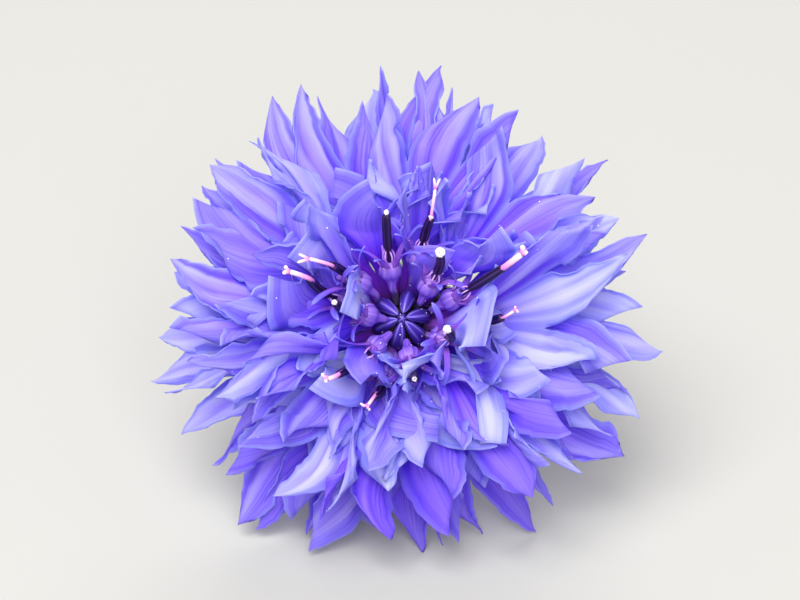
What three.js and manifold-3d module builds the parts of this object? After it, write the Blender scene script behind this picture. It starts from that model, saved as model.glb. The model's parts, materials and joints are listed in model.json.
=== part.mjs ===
// A cut cornflower (Centaurea cyanus, garden double form) lying on a level surface.
// Millimetres, +Z up. The face of the flower looks towards -Y and up, and the stem lies along +Y.
// The origin is on the surface, below the middle of the flower's box.

import * as THREE from 'three';
import { mergeVertices } from 'three/addons/utils/BufferGeometryUtils.js';
import Module from 'manifold-3d';

// ---------------------------------------------------------------- driving dimensions

const FACE_ELEVATION = 38;              // degrees the flower's axis points above level
const HEAD_AT = [-0.24, -18.3, 16.6];   // middle of the involucre's mouth
const SEAT_GAP = 0.3;                   // clearance between seated pieces

const BLADE_THICKNESS = 0.6;            // petal blades
const RAY_TUBE_RADIUS = 0.55;
const RAY_TUBE_LENGTH = 4.6;
const RAY_FUNNEL_LENGTH = 7.2;          // from the throat to where the lobes part, at its sides
const RAY_FUNNEL_SLANT = 2.6;           // how much further it runs on its outer side
const RAY_MOUTH_RADIUS = 2.8;           // funnel where the lobes part
const RAY_MOUTH_FLAT = 0.62;            // height of the funnel's section over its radius
const RAY_MOUTH_WIDE = 1.22;            // width of the funnel's section over its radius
const RAY_LOBE_LENGTH = 6.4;
const RAY_LOBE_SLANT = 2.0;             // how much longer the outer lobes are
const RAY_LOBE_CURL = [44, 36];         // degrees the side lobes curl, and what the inner ones add
const RAY_LOBE_WIDEST = 0.42;           // share of a lobe's length at which it is widest
const RAY_WHOLE_LENGTH = 18.6;          // tube, funnel and lobe along the middle line
const RAY_BEND_LENGTH = 7.5;            // stretch over which a floret turns outwards
const RAY_DROOP_LENGTH = 12;            // stretch after it over which the droop builds up

const RAY_FOOT_RADIUS = 2.65;           // where the middle lines start, inside the core ring
const RAY_FOOT_HEIGHT = -0.6;
const RAY_FOOT_LEAN = [30, 22];         // degrees off the head's axis there, outer and inner whorl
const RAY_CORE_RADIUS = 3.5;            // ring that the ray florets root in
const RAY_CORE_BOTTOM = -1.2;
const RAY_CORE_TOP = 0.5;
const DISC_CORE_RADIUS = 1.75;          // plug that the disc florets root in
const DISC_CORE_TOP = 0.5;
const DISC_FOOT_RADIUS = 1.15;
const DISC_BUDS = 6;                    // closed florets round the one in the middle

const INVOLUCRE_LENGTH = 15;
const INVOLUCRE_PROFILE = [             // radius and height of the scaly egg below the florets
  [1.9, -15], [3.7, -14], [5.0, -12], [5.5, -9], [5.35, -6], [4.9, -3], [4.6, 0],
];
const CUP_RADIUS = 3.95;                // shallow cup in its mouth
const CUP_FLOOR = -1.5;
const SOCKET_DEPTH = 1;                 // dimple in its base that takes the stem
const BRACT_ROWS = 6;
const BRACTS_PER_ROW = 8;

const STEM_RADIUS = 0.95;
const STEM_RIBS = 5;
const STEM_RIB_DEPTH = 0.12;
const STEM_END = [1.84, 34.65, 0.9];    // middle of the cut end
const STEM_PULL = 11;                   // how far the stem keeps on along the flower's axis
const STEM_STEPS = 22;

// One line for each ray floret: compass angle on the face, length, lift off the face plane,
// roll about its own axis, number of lobes, whorl (0 outer, 1 inner).
const RAY_FLORETS = [
  [97, 22.4, 0, 12, 6, 0], [71, 22.2, 2, -8, 5, 0], [46, 22.0, -2, 10, 6, 0],
  [20, 22.0, 0, -20, 5, 0], [356, 22.6, 1, 14, 6, 0], [331, 22.8, -2, -6, 5, 0],
  [303, 22.8, -4, 18, 6, 0], [277, 21.2, -3, -20, 5, 0], [251, 22.3, -4, 15, 6, 0],
  [226, 22.2, -3, -12, 5, 0], [201, 21.8, -3, 20, 6, 0], [174, 21.2, -1, -15, 5, 0],
  [149, 21.6, 0, 8, 6, 0], [123, 22.0, 2, -18, 5, 0],
  [84, 21.6, 15, 4, 5, 1], [113, 22.0, 13, -16, 5, 1], [142, 22.2, 16, 10, 5, 1],
  [171, 22.4, 14, -10, 5, 1], [203, 19.6, 24, 20, 5, 1], [235, 20.0, 22, -22, 5, 1],
  [268, 20.6, 18, 14, 5, 1], [300, 19.6, 27, -10, 5, 1], [333, 20.8, 20, 25, 5, 1],
  [5, 21.4, 15, -6, 5, 1], [44, 21.6, 19, 12, 5, 1],
];
const RAY_NOMINAL_LENGTH = 22.8;        // length at which the ray sizes above hold

// One line for each open disc floret: bell x, y, z and tip of the anther tube x, y, z, on the head's axes.
const DISC_FLORETS = [
  [-1.0, 3.6, 5.4, -1.4, 8.2, 10.4],
  [1.9, 2.3, 5.4, 3.4, 5.4, 9.6],
  [-2.6, 0.1, 5.2, -5.2, 1.2, 10.0],
  [3.7, 1.3, 5.4, 7.4, 3.8, 10.6],
  [-2.0, -2.3, 5.2, -4.8, -4.7, 9.8],
  [2.9, -1.7, 5.2, 4.0, -1.5, 10.2],
  [0.5, -3.1, 5.2, 1.1, -5.4, 9.6],
  [-3.2, 2.6, 5.2, -5.4, 4.6, 9.6],
];
const BELL_RADIUS = 1.0;
const ANTHER_RADIUS = 0.5;

// ---------------------------------------------------------------- small sums

const degrees = THREE.MathUtils.degToRad;
const { clamp, lerp, smoothstep } = THREE.MathUtils;

// A repeatable draw between 0 and 1 for the pair (i, j).
function draw(i, j) {
  const x = Math.sin(i * 12.9898 + j * 78.233) * 43758.5453;
  return x - Math.floor(x);
}

function spread(i, j, low, high) {
  return lerp(low, high, draw(i, j));
}

// ---------------------------------------------------------------- solids

const wasm = await Module();
wasm.setup();

// A closed body from corner points and triangles of corner numbers, turned so that its faces point out.
function closedGeometry(points, triangles) {
  let volume = 0;
  for (const [a, b, c] of triangles) {
    volume += points[a].dot(points[b].clone().cross(points[c]));
  }
  const outward = volume > 0 ? triangles : triangles.map(([a, b, c]) => [a, c, b]);
  const geometry = new THREE.BufferGeometry();
  geometry.setAttribute('position', new THREE.Float32BufferAttribute(points.flatMap((p) => p.toArray()), 3));
  geometry.setIndex(outward.flat());
  return geometry;
}

function solidOf(geometry) {
  const bare = geometry.clone();
  bare.deleteAttribute('normal');
  bare.deleteAttribute('uv');
  const welded = mergeVertices(bare, 1e-5);
  const vertProperties = new Float32Array(welded.attributes.position.array);
  const triVerts = new Uint32Array(welded.index.array);
  return new wasm.Manifold(new wasm.Mesh({ numProp: 3, vertProperties, triVerts }));
}

function fuse(geometries) {
  return geometries.map(solidOf).reduce((all, next) => all.add(next));
}

// The largest body of a solid; scraps left by a cut are dropped.
function mainBody(solid) {
  return solid.decompose().reduce((best, next) => (next.volume() > best.volume() ? next : best));
}

function geometryOf(solid) {
  const mesh = solid.getMesh();
  const geometry = new THREE.BufferGeometry();
  geometry.setAttribute('position', new THREE.BufferAttribute(mesh.vertProperties, 3));
  geometry.setIndex(new THREE.BufferAttribute(mesh.triVerts, 1));
  geometry.computeVertexNormals();
  return geometry;
}

function piece(name, geometry, colour, roughness) {
  const material = new THREE.MeshStandardMaterial({ color: colour, roughness, metalness: 0 });
  const mesh = new THREE.Mesh(geometry, material);
  mesh.name = name;
  return mesh;
}

// A rod through stations { at, radius }: one ring of sides for each station, both ends closed.
function rod(stations, sides) {
  const points = [];
  const triangles = [];
  const last = stations.length - 1;
  const reference = new THREE.Vector3(0.31, 0.95, 0.05).normalize();
  stations.forEach(({ at, radius }, k) => {
    const ahead = stations[Math.min(k + 1, last)].at;
    const behind = stations[Math.max(k - 1, 0)].at;
    const along = ahead.clone().sub(behind).normalize();
    const right = reference.clone().cross(along).normalize();
    const up = along.clone().cross(right);
    for (let i = 0; i < sides; i += 1) {
      const turn = (i / sides) * 2 * Math.PI;
      const offset = right.clone().multiplyScalar(Math.cos(turn)).addScaledVector(up, Math.sin(turn));
      points.push(at.clone().addScaledVector(offset, radius));
    }
  });
  for (let k = 0; k < last; k += 1) {
    for (let i = 0; i < sides; i += 1) {
      const a = k * sides + i;
      const b = k * sides + ((i + 1) % sides);
      triangles.push([a, b, b + sides], [a, b + sides, a + sides]);
    }
  }
  for (let i = 1; i < sides - 1; i += 1) {
    triangles.push([0, i + 1, i], [last * sides, last * sides + i, last * sides + i + 1]);
  }
  return closedGeometry(points, triangles);
}

// A sheet with a thickness: each point of its middle surface becomes a pair, one on either side,
// both faces are split into triangles alike, and its edges are closed by rims.
function sheet(thickness) {
  const points = [];
  const triangles = [];
  return {
    points,
    triangles,
    pair({ at, normal }) {
      points.push(at.clone().addScaledVector(normal, -thickness / 2));
      points.push(at.clone().addScaledVector(normal, thickness / 2));
      return points.length - 2;
    },
    face(a, b, c) {
      triangles.push([a, b, c], [a + 1, c + 1, b + 1]);
    },
    rim(a, b) {
      triangles.push([b, a, a + 1], [b, a + 1, b + 1]);
    },
  };
}

// A blade through rows of points from its root up. A row of one point ends it in a tip.
function blade(rows, thickness) {
  const { points, triangles, pair, face, rim } = sheet(thickness);
  const number = rows.map((row) => row.map(pair));
  for (let k = 0; k < number.length - 1; k += 1) {
    const low = number[k];
    const high = number[k + 1];
    for (let i = 0; i < low.length - 1; i += 1) {
      if (high.length === 1) {
        face(low[i], high[0], low[i + 1]);
      } else {
        face(low[i], high[i], high[i + 1]);
        face(low[i], high[i + 1], low[i + 1]);
      }
    }
    rim(low[0], high[0]);
    rim(high[high.length - 1], low[low.length - 1]);
  }
  const first = number[0];
  for (let i = 0; i < first.length - 1; i += 1) {
    rim(first[i + 1], first[i]);
  }
  return closedGeometry(points, triangles);
}

// ---------------------------------------------------------------- ray florets

// The curved middle line of one ray floret: distance from the head's axis, height and direction.
function rayMiddleLine(floret) {
  const start = degrees(RAY_FOOT_LEAN[floret.whorl]);
  const end = degrees(90 - floret.lift);
  const droop = degrees(spread(floret.number, 21, -4, 12));
  const direction = (s) => {
    const bend = smoothstep(s, 0, RAY_BEND_LENGTH);
    const past = clamp((s - RAY_BEND_LENGTH) / RAY_DROOP_LENGTH, 0, 2);
    return start + (end - start) * bend + droop * past * past;
  };
  const step = 0.25;
  const line = [{ out: RAY_FOOT_RADIUS, height: RAY_FOOT_HEIGHT }];
  for (let k = 1; k * step <= 1.5 * RAY_WHOLE_LENGTH; k += 1) {
    const angle = direction((k - 0.5) * step);
    const before = line[k - 1];
    line.push({ out: before.out + Math.sin(angle) * step, height: before.height + Math.cos(angle) * step });
  }
  return (s) => {
    const k = clamp(Math.floor(s / step), 0, line.length - 2);
    const t = s / step - k;
    return {
      out: lerp(line[k].out, line[k + 1].out, t),
      height: lerp(line[k].height, line[k + 1].height, t),
      angle: direction(s),
    };
  };
}

// The middle surface of a ray floret: across -1..1 over one lobe's share of the funnel,
// down the funnel 0..1 from the throat to where the lobes part, and out 0..1 along the lobe.
function raySurface(floret) {
  const { number, lobes, size } = floret;
  const middle = rayMiddleLine(floret);
  const half = Math.PI / lobes;
  const roll = degrees(floret.roll);
  const compass = degrees(floret.angle);
  const mouth = RAY_MOUTH_RADIUS * size;
  const tube = RAY_TUBE_LENGTH * size;
  const funnel = RAY_FUNNEL_LENGTH * size;
  const bow = spread(number, 22, -1.6, 1.6);
  const flare = Math.atan(1.15 * (mouth - RAY_TUBE_RADIUS) / funnel);
  const partAt = (turn) => tube + funnel - RAY_FUNNEL_SLANT * size * Math.cos(turn);

  const place = (along, radius, turn, flattened) => {
    const line = middle(along);
    const inward = Math.cos(turn + roll) * radius * lerp(1, RAY_MOUTH_FLAT, flattened);
    const sideways = Math.sin(turn + roll) * radius * lerp(1, RAY_MOUTH_WIDE, flattened);
    const aside = sideways + bow * (along / (RAY_WHOLE_LENGTH * size)) ** 2;
    const out = line.out - Math.cos(line.angle) * inward;
    const height = line.height + Math.sin(line.angle) * inward;
    return new THREE.Vector3(
      out * Math.cos(compass) - aside * Math.sin(compass),
      out * Math.sin(compass) + aside * Math.cos(compass),
      height,
    );
  };

  const funnelPoint = (lobe, across, down) => {
    const turn = (2 * lobe + 1 + across) * half;
    const along = lerp(tube, partAt(turn), down);
    const radius = lerp(RAY_TUBE_RADIUS, mouth, Math.max(down, 0) ** 1.3);
    return place(along, radius, turn, down);
  };

  const lobePoint = (lobe, across, out) => {
    const key = number * 11 + lobe;
    const centre = (2 * lobe + 1) * half;
    const outer = -Math.cos(centre);
    const length = size * (RAY_LOBE_LENGTH + RAY_LOBE_SLANT * outer) * spread(key, 11, 0.84, 1.14);
    const curl = degrees(RAY_LOBE_CURL[0] - RAY_LOBE_CURL[1] * outer + spread(key, 12, -14, 14)) - flare;
    const widthShare = (1 + spread(key, 13, 1.1, 1.7) * out) * (1 - out) ** 0.66;
    const width = mouth * Math.sin(half) * widthShare;
    const onward = length * (Math.sin(flare + curl * out) - Math.sin(flare)) / curl;
    const spreadOut = length * (Math.cos(flare) - Math.cos(flare + curl * out)) / curl;
    const reach = mouth + spreadOut;
    const skew = spread(key, 14, -0.18, 0.18) * out ** 1.6;
    const turn = centre + across * half * widthShare * mouth / reach + skew;
    const cup = spread(key, 15, -0.15, 0.4) * across * across * width * out ** 0.7;
    const twist = spread(key, 16, -0.25, 0.25) * across * width * out;
    return place(partAt(centre + across * half) + onward, reach - cup + twist, turn, 1);
  };

  const withNormal = (surface) => (lobe, across, out) => {
    const aside = surface(lobe, across + 0.02, out).sub(surface(lobe, across - 0.02, out));
    const onward = surface(lobe, across, out + 0.01).sub(surface(lobe, across, out - 0.01));
    return { at: surface(lobe, across, out), normal: aside.cross(onward).normalize() };
  };
  return { place, tube, half, onFunnel: withNormal(funnelPoint), onLobe: withNormal(lobePoint) };
}

// A ray floret is one thin trumpet: a slim tube, a funnel and pointed lobes round its mouth.
function rayFloret(floret) {
  const { lobes } = floret;
  const { place, tube, half, onFunnel, onLobe } = raySurface(floret);
  const { points, triangles, pair, face, rim } = sheet(BLADE_THICKNESS);
  const add = (point) => points.push(point) - 1;

  const rings = [0, 0.55, 1].map((share) => {
    const ring = [];
    for (let i = 0; i < lobes; i += 1) {
      ring.push(add(place(tube * share, RAY_TUBE_RADIUS, 2 * half * i, 0)));
    }
    return ring;
  });
  for (let i = 1; i < lobes - 1; i += 1) {
    triangles.push([rings[0][0], rings[0][i], rings[0][i + 1]]);
  }
  for (let k = 0; k < 2; k += 1) {
    for (let i = 0; i < lobes; i += 1) {
      const j = (i + 1) % lobes;
      triangles.push([rings[k][i], rings[k + 1][i], rings[k + 1][j]]);
      triangles.push([rings[k][i], rings[k + 1][j], rings[k][j]]);
    }
  }

  const throat = rings[2];
  const deepest = add(place(tube + 1.0, 0, 0, 0));
  const mouthRing = [];
  for (let i = 0; i < 2 * lobes; i += 1) {
    mouthRing.push(pair(onFunnel(Math.floor(i / 2), i % 2 === 0 ? -1 : 0, 1)));
  }
  for (let i = 0; i < lobes; i += 1) {
    const left = mouthRing[2 * i];
    const centre = mouthRing[2 * i + 1];
    const right = mouthRing[(2 * i + 2) % (2 * lobes)];
    const a = throat[i];
    const b = throat[(i + 1) % lobes];
    triangles.push([a, left, centre], [a, centre, b], [b, centre, right]);
    triangles.push([deepest, centre + 1, left + 1], [deepest, right + 1, centre + 1]);

    const wide = [-1, 0, 1].map((across) => pair(onLobe(i, across, RAY_LOBE_WIDEST)));
    const tip = pair({ at: onLobe(i, 0, 0.985).at, normal: onLobe(i, 0, 0.7).normal });
    face(left, wide[0], wide[1]);
    face(left, wide[1], centre);
    face(centre, wide[1], right);
    face(right, wide[1], wide[2]);
    face(wide[0], tip, wide[1]);
    face(wide[1], tip, wide[2]);
    rim(left, wide[0]);
    rim(wide[0], tip);
    rim(tip, wide[2]);
    rim(wide[2], right);
  }
  return closedGeometry(points, triangles);
}

const rayTable = RAY_FLORETS.map(([angle, length, lift, roll, lobes, whorl], number) => (
  { angle, size: length / RAY_NOMINAL_LENGTH, lift, roll, lobes, whorl, number }
));

function rayCore() {
  const inner = DISC_CORE_RADIUS + SEAT_GAP;
  const profile = [
    [inner, RAY_CORE_BOTTOM], [RAY_CORE_RADIUS, RAY_CORE_BOTTOM], [RAY_CORE_RADIUS, 0],
    [RAY_CORE_RADIUS - 0.4, RAY_CORE_TOP], [inner, RAY_CORE_TOP], [inner, RAY_CORE_BOTTOM],
  ].map(([r, z]) => new THREE.Vector2(r, z));
  return new THREE.LatheGeometry(profile, 24).rotateX(Math.PI / 2);
}


function rayFlorets(surface) {
  const whole = fuse([rayCore(), ...rayTable.map(rayFloret)]);
  return geometryOf(mainBody(whole.subtract(solidOf(surface))));
}

// ---------------------------------------------------------------- disc florets

const vector = (x, y, z) => new THREE.Vector3(x, y, z);

// A disc floret that is open: slim tube, swollen bell with five lobes, and the dark anther tube out of it.
function openDiscFloret([bellX, bellY, bellZ, tipX, tipY, tipZ]) {
  const bell = vector(bellX, bellY, bellZ);
  const tip = vector(tipX, tipY, tipZ);
  const along = tip.clone().sub(bell).normalize();
  const outward = vector(bellX, bellY, 0).normalize();
  const foot = outward.clone().multiplyScalar(DISC_FOOT_RADIUS).setZ(-0.3);
  const onBell = (distance) => bell.clone().addScaledVector(along, distance);
  const body = rod([
    { at: foot, radius: 0.42 },
    { at: foot.clone().lerp(onBell(-1.5), 0.5).add(outward.clone().multiplyScalar(-0.2)), radius: 0.42 },
    { at: onBell(-1.4), radius: 0.5 },
    { at: onBell(-0.3), radius: BELL_RADIUS },
    { at: onBell(0.8), radius: 0.85 * BELL_RADIUS },
    { at: onBell(1.0), radius: ANTHER_RADIUS },
    { at: tip.clone().addScaledVector(along, -0.8), radius: ANTHER_RADIUS },
    { at: tip, radius: 0.2 },
  ], 6);

  const right = vector(0, 0, 1).cross(along).normalize();
  const up = along.clone().cross(right);
  const lobes = [0, 1, 2, 3, 4].map((i) => {
    const turn = (i + 0.25) / 5 * 2 * Math.PI;
    const away = right.clone().multiplyScalar(Math.cos(turn)).addScaledVector(up, Math.sin(turn));
    const aside = along.clone().cross(away);
    const normal = along.clone().multiplyScalar(0.85).addScaledVector(away, -0.53);
    const row = (forward, reach, ends) => {
      const middle = onBell(forward).addScaledVector(away, reach);
      return ends.map((w) => ({ at: middle.clone().addScaledVector(aside, w), normal }));
    };
    return blade([row(0.3, 0.5, [-0.45, 0.45]), row(1.4, 2.3, [0])], BLADE_THICKNESS);
  });
  return [body, ...lobes];
}

// A closed disc floret: a ridged bud, narrow at its foot and pointed.
function closedDiscFloret(index, count) {
  const turn = index / count * 2 * Math.PI + 0.3;
  const reach = index < count ? 1 : 0;
  const outward = vector(Math.cos(turn), Math.sin(turn), 0).multiplyScalar(reach);
  const at = (radius, height) => outward.clone().multiplyScalar(radius).setZ(height);
  return rod([
    { at: at(0.75, -0.3), radius: 0.4 },
    { at: at(0.85, 1.9), radius: 0.45 },
    { at: at(1.15, 3.1), radius: 0.68 },
    { at: at(1.3, 4.1), radius: 0.55 },
    { at: at(1.2, 4.8), radius: 0.15 },
  ], 6);
}

function discCore() {
  const height = DISC_CORE_TOP - RAY_CORE_BOTTOM;
  return new THREE.CylinderGeometry(DISC_CORE_RADIUS, DISC_CORE_RADIUS, height, 16)
    .rotateX(Math.PI / 2)
    .translate(0, 0, RAY_CORE_BOTTOM + height / 2);
}

function discFlorets() {
  const buds = [];
  for (let i = 0; i <= DISC_BUDS; i += 1) {
    buds.push(closedDiscFloret(i, DISC_BUDS));
  }
  return geometryOf(mainBody(fuse([discCore(), ...buds, ...DISC_FLORETS.flatMap(openDiscFloret)])));
}

// ---------------------------------------------------------------- involucre

const involucreCurve = new THREE.SplineCurve(INVOLUCRE_PROFILE.map(([r, z]) => new THREE.Vector2(r, z)));

// A point of the involucre's skin and its outward normal: share 0..1 from the base to the mouth.
function involucreSkin(share, angle, lift) {
  const at = involucreCurve.getPoint(clamp(share, 0, 1));
  const slope = involucreCurve.getTangent(clamp(share, 0, 1));
  const radius = at.x + slope.y * lift;
  const height = at.y - slope.x * lift;
  const normal = vector(slope.y * Math.cos(angle), slope.y * Math.sin(angle), -slope.x);
  return { at: vector(radius * Math.cos(angle), radius * Math.sin(angle), height), normal, radius };
}

function involucreCore() {
  const socket = STEM_RADIUS + SEAT_GAP;
  const base = -INVOLUCRE_LENGTH;
  const profile = [new THREE.Vector2(0, base + SOCKET_DEPTH), new THREE.Vector2(socket, base + SOCKET_DEPTH),
    new THREE.Vector2(socket, base)];
  profile.push(...involucreCurve.getPoints(9));
  profile.push(new THREE.Vector2(CUP_RADIUS, 0), new THREE.Vector2(CUP_RADIUS, CUP_FLOOR));
  profile.push(new THREE.Vector2(0, CUP_FLOOR));
  return new THREE.LatheGeometry(profile, 20).rotateX(Math.PI / 2);
}

// One bract: a pointed scale that hugs the egg, its root sunk in it and its tip proud.
function bract(row, column) {
  const tip = lerp(0.3, 1, row / (BRACT_ROWS - 1));
  const base = Math.max(tip - lerp(0.26, 0.36, row / (BRACT_ROWS - 1)), 0.03);
  const angle = (column + (row % 2) / 2) / BRACTS_PER_ROW * 2 * Math.PI;
  const halfAngle = Math.PI / BRACTS_PER_ROW;
  const scaleRow = (share, width, lift) => [-1, 0, 1].map((side) => (
    involucreSkin(share, angle + side * halfAngle * width, lift)
  ));
  return blade([
    scaleRow(base, 0.75, -0.15),
    scaleRow(lerp(base, tip, 0.62), 0.92, 0.18),
    [involucreSkin(tip, angle, 0.3)],
  ], BLADE_THICKNESS);
}

function involucre() {
  const bracts = [];
  for (let row = 0; row < BRACT_ROWS; row += 1) {
    for (let column = 0; column < BRACTS_PER_ROW; column += 1) {
      bracts.push(bract(row, column));
    }
  }
  return geometryOf(mainBody(fuse([involucreCore(), ...bracts])));
}

// ---------------------------------------------------------------- stem

// The stem leaves the involucre along the flower's axis and bends down until it lies on the surface.
function stem(surface) {
  const axis = vector(0, -Math.cos(degrees(FACE_ELEVATION)), Math.sin(degrees(FACE_ELEVATION)));
  const start = vector(...HEAD_AT).addScaledVector(axis, SOCKET_DEPTH - INVOLUCRE_LENGTH - SEAT_GAP);
  const end = vector(...STEM_END);
  const line = new THREE.CubicBezierCurve3(
    start,
    start.clone().addScaledVector(axis, -STEM_PULL),
    vector(start.x, end.y * 0.3, end.z),
    end,
  );
  const section = new THREE.Shape();
  for (let i = 0; i < 2 * STEM_RIBS; i += 1) {
    const turn = i / STEM_RIBS * Math.PI;
    const radius = STEM_RADIUS - (i % 2) * STEM_RIB_DEPTH;
    const point = [radius * Math.cos(turn), radius * Math.sin(turn)];
    if (i === 0) {
      section.moveTo(...point);
    } else {
      section.lineTo(...point);
    }
  }
  const rough = new THREE.ExtrudeGeometry(section, {
    steps: STEM_STEPS,
    extrudePath: line,
    bevelEnabled: false,
  });
  return geometryOf(mainBody(solidOf(rough).subtract(solidOf(surface))));
}

// ---------------------------------------------------------------- the flower

const head = new THREE.Group();
head.position.set(...HEAD_AT);
head.rotation.x = degrees(90 - FACE_ELEVATION);
head.updateMatrixWorld();

// What is below the surface that the flower lies on, to cut small flats where it rests.
const underground = new THREE.BoxGeometry(200, 200, 40).translate(0, 0, -20);
const undergroundFromHead = underground.clone().applyMatrix4(head.matrixWorld.clone().invert());

head.add(piece('ray_florets', rayFlorets(undergroundFromHead), '#7f74e6', 0.6));
head.add(piece('disc_florets', discFlorets(), '#4a2a8c', 0.5));
head.add(piece('involucre', involucre(), '#6f8a55', 0.7));

const flower = new THREE.Group();
flower.add(head);
flower.add(piece('stem', stem(underground), '#7c9a62', 0.7));

export default flower;
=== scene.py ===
# A cut double cornflower, laid down on a pale surface.
# Blender 4.5. Metres in the file, millimetres in the sizes below, +Z up.
# The flower is put together from its stem up: stem, involucre, ray florets, disc florets, pollen.

import json
import math

import bpy
import numpy as np
from mathutils import Matrix, Vector

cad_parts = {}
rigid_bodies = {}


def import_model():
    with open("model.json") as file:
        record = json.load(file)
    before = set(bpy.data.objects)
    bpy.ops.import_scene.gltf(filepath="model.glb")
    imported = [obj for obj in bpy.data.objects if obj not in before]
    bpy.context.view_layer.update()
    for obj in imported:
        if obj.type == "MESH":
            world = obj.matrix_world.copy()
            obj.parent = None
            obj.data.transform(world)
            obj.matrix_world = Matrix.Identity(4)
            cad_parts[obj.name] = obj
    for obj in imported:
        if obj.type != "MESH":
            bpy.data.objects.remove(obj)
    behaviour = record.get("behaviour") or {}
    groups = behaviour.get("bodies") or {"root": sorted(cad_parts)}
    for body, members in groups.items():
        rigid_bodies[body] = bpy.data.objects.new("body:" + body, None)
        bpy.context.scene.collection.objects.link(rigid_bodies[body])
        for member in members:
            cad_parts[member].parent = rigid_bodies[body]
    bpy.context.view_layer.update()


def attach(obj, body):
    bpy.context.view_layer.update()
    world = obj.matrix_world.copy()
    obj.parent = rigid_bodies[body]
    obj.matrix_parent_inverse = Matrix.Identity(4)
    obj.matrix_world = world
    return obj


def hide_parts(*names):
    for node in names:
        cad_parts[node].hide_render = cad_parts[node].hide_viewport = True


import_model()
bpy.ops.object.select_all(action="DESELECT")


# -------------------- stem
# The stalk of a cornflower: green, slim and wiry, with shallow ribs and a cobweb of white down.
# It was cut off short, leaves the flower's base along its axis and bends until it lies on the surface.

MM = 0.001
FACE_ELEVATION = math.radians(38)         # how far the flower's axis points above level
HEAD_AT = np.array([-0.24, -18.3, 16.6])  # middle of the involucre's mouth
HEAD_RIGHT = np.array([1.0, 0.0, 0.0])
HEAD_UP = np.array([0.0, math.sin(FACE_ELEVATION), math.cos(FACE_ELEVATION)])
HEAD_OUT = np.array([0.0, -math.cos(FACE_ELEVATION), math.sin(FACE_ELEVATION)])

STEM_RADIUS = 0.95
STEM_RIBS = 7
STEM_RIB_DEPTH = 0.09                     # a share of the radius
STEM_ROOT_DEPTH = 14.2                    # below the involucre's mouth, inside its foot
STEM_STRAIGHT = 11.0                      # how long it pulls along the flower's axis
STEM_LEVEL_FROM = 0.3                     # where it lies level, a share of the way to its end
STEM_START = HEAD_AT - STEM_ROOT_DEPTH * HEAD_OUT
STEM_PULL = STEM_START - STEM_STRAIGHT * HEAD_OUT
STEM_END = np.array([1.84, 34.6, 0.97])
STEM_REST = np.array([HEAD_AT[0], STEM_END[1] * STEM_LEVEL_FROM, STEM_END[2]])
MERGE_DISTANCE = 0.004


def points_of(piece):
    """A mesh's points as rows of x, y, z."""
    flat = np.empty(len(piece.data.vertices) * 3)
    piece.data.vertices.foreach_get("co", flat)
    return flat.reshape(-1, 3)


def move_points(piece, rows):
    """Puts a mesh's points at these rows of x, y, z."""
    piece.data.vertices.foreach_set("co", np.asarray(rows, float).ravel())
    piece.data.update()


def pick(*parts):
    """Selects these objects and no others, the first as the active one."""
    bpy.ops.object.select_all(action="DESELECT")
    for part in parts:
        part.select_set(True)
    bpy.context.view_layer.objects.active = parts[0]


def clean(piece):
    """Merges doubled points and turns the faces outwards."""
    pick(piece)
    bpy.ops.object.mode_set(mode="EDIT")
    bpy.ops.mesh.select_all(action="SELECT")
    bpy.ops.mesh.remove_doubles(threshold=MERGE_DISTANCE * MM)
    bpy.ops.mesh.normals_make_consistent(inside=False)
    bpy.ops.object.mode_set(mode="OBJECT")


def hand_over(piece, name, material, stands_for):
    """Names a finished piece, gives it smooth shading and its material, and sets it in the frame."""
    pick(piece)
    bpy.ops.object.shade_smooth()
    piece.name = name
    piece.data.name = name
    piece.data.materials.clear()
    piece.data.materials.append(material)
    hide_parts(stands_for)
    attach(piece, "root")


def linear(hex_colour):
    """An sRGB hex colour as linear RGBA."""
    channels = [int(hex_colour[k:k + 2], 16) / 255 for k in (1, 3, 5)]
    flat = [c / 12.92 if c <= 0.04045 else ((c + 0.055) / 1.055) ** 2.4 for c in channels]
    return (*flat, 1.0)


def new_material(name):
    """A material with no nodes yet."""
    material = bpy.data.materials.new(name)
    material.use_nodes = True
    material.node_tree.nodes.clear()
    return material


def add_node(material, kind, settings=None, links=None):
    """Adds one shader node: its settings and sockets' values, then what feeds its sockets."""
    made = material.node_tree.nodes.new("ShaderNode" + kind)
    for name, value in (settings or {}).items():
        if name == "stops":
            elements = made.color_ramp.elements
            while len(elements) < len(value):
                elements.new(0.5)
            for element, (position, colour) in zip(elements, value):
                element.position = position
                element.color = linear(colour)
        elif isinstance(name, str) and hasattr(made, name):
            setattr(made, name, value)
        else:
            made.inputs[name].default_value = value
    for name, source in (links or {}).items():
        material.node_tree.links.new(source, made.inputs[name])
    return made


# Fresh stem rind: waxy green tissue, mottled every millimetre or so, with a soft broad gloss.
rind = new_material("fresh_stem_rind")
place = add_node(rind, "TexCoord")
rind_grain = add_node(
    rind, "TexNoise", {"Scale": 900.0, "Detail": 4.0}, {"Vector": place.outputs["Object"]})
rind_colour = add_node(
    rind, "ValToRGB", {"stops": [(0.30, "#5d7f4a"), (0.55, "#7a9a63"), (0.75, "#98b285")]},
    {"Fac": rind_grain.outputs["Fac"]})
rind_relief = add_node(
    rind, "Bump", {"Strength": 0.35, "Distance": 0.0001}, {"Height": rind_grain.outputs["Fac"]})
rind_shader = add_node(
    rind, "BsdfPrincipled", {"Roughness": 0.55, "IOR": 1.42, "Sheen Weight": 0.3},
    {"Base Color": rind_colour.outputs["Color"], "Normal": rind_relief.outputs["Normal"]})
add_node(rind, "OutputMaterial", links={"Surface": rind_shader.outputs["BSDF"]})

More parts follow.
